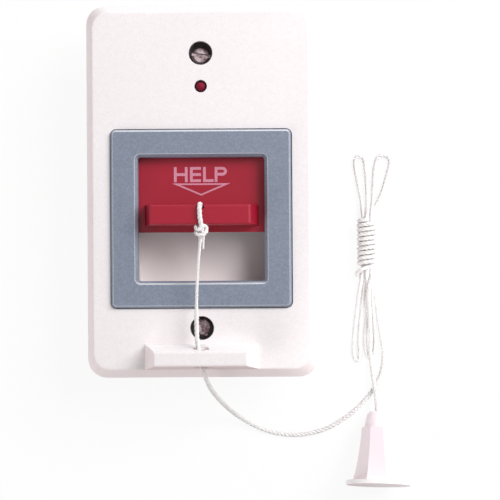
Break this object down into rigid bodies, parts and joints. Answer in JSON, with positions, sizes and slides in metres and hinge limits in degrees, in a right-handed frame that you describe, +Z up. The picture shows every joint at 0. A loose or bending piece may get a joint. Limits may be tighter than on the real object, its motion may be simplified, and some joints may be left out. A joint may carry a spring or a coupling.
{
  "type": "emergency pull cord alarm",
  "caption": "Single-box wall plate with a bezel window, a red pull-down slide, lamp, recessed screws and a knotted cord that runs through a guide to a flared handle.",
  "frame": {"origin": "midway between the two wall screws, on the wall plane behind the plate; the part lies on its rear cover at z = -20 mm", "axes": "+X to the right and +Y up the plate as it hangs on a wall, +Z out of the wall; as stored and pictured the part lies on its back, so +Z is up"},
  "size_m": [0.1008, 0.1537, 0.037],
  "materials": {
    "white_plastic": "fine satin moulded white",
    "bezel_plastic": "satin blue-grey moulding",
    "grey_plastic": "plain warm grey moulding",
    "pad_rubber": "soft black pad",
    "spring_steel": "rolled spring strip",
    "case_plastic": "plain white moulding",
    "screw_steel": "bright turned screw",
    "board_green": "green solder mask",
    "lamp_red": "clear red epoxy",
    "contact_metal": "tinned metal",
    "terminal_plastic": "green terminal moulding",
    "switch_plastic": "black switch moulding",
    "slide_red": "semi-gloss deep red",
    "cord_white": "twisted white synthetic cord",
    "handle_plastic": "white moulded pull"
  },
  "bodies": {
    "housing": {"front_plate": "white_plastic", "bezel_frame": "bezel_plastic", "slide_carrier": "grey_plastic", "upper_stop_pad": "pad_rubber", "lower_stop_pad": "pad_rubber", "friction_spring_left": "spring_steel", "friction_spring_right": "spring_steel", "rear_case": "case_plastic", "rear_cover": "case_plastic", "case_screws": "screw_steel", "wall_screw_top": "screw_steel", "wall_screw_bottom": "screw_steel", "circuit_board": "board_green", "lamp": "lamp_red", "lamp_leads": "contact_metal", "lamp_spacer": "grey_plastic", "terminal_block": "terminal_plastic", "terminal_screws": "contact_metal", "switch_body": "switch_plastic", "switch_pins": "contact_metal"},
    "slide": {"pull_slide": "slide_red", "cord_loop": "cord_white", "cord_knot": "cord_white", "cord_run": "cord_white", "cord_hank": "cord_white", "cord_tail": "cord_white", "handle_body": "handle_plastic", "handle_base": "handle_plastic", "handle_knot": "cord_white"},
    "lever": {"switch_lever": "spring_steel"},
    "plunger": {"switch_plunger": "lamp_red"}
  },
  "joints": [
    {"name": "slide_pull", "type": "slide", "parent": "housing", "child": "slide", "axis": [0, -1, 0], "range_m": [0, 0.014]},
    {"name": "lever_turn", "type": "hinge", "parent": "housing", "child": "lever", "pos_m": [0, 0.0149, -0.0011], "axis": [1, 0, 0], "range_deg": [0, 10.63]},
    {"name": "plunger_press", "type": "slide", "parent": "housing", "child": "plunger", "axis": [0, 0, -1], "range_m": [0, 0.00075]}
  ],
  "couplings": [
    {"joint": "lever_turn", "follows": "slide_pull", "rad_per_m": 13.246},
    {"joint": "plunger_press", "follows": "slide_pull", "ratio": 0.05313}
  ]
}
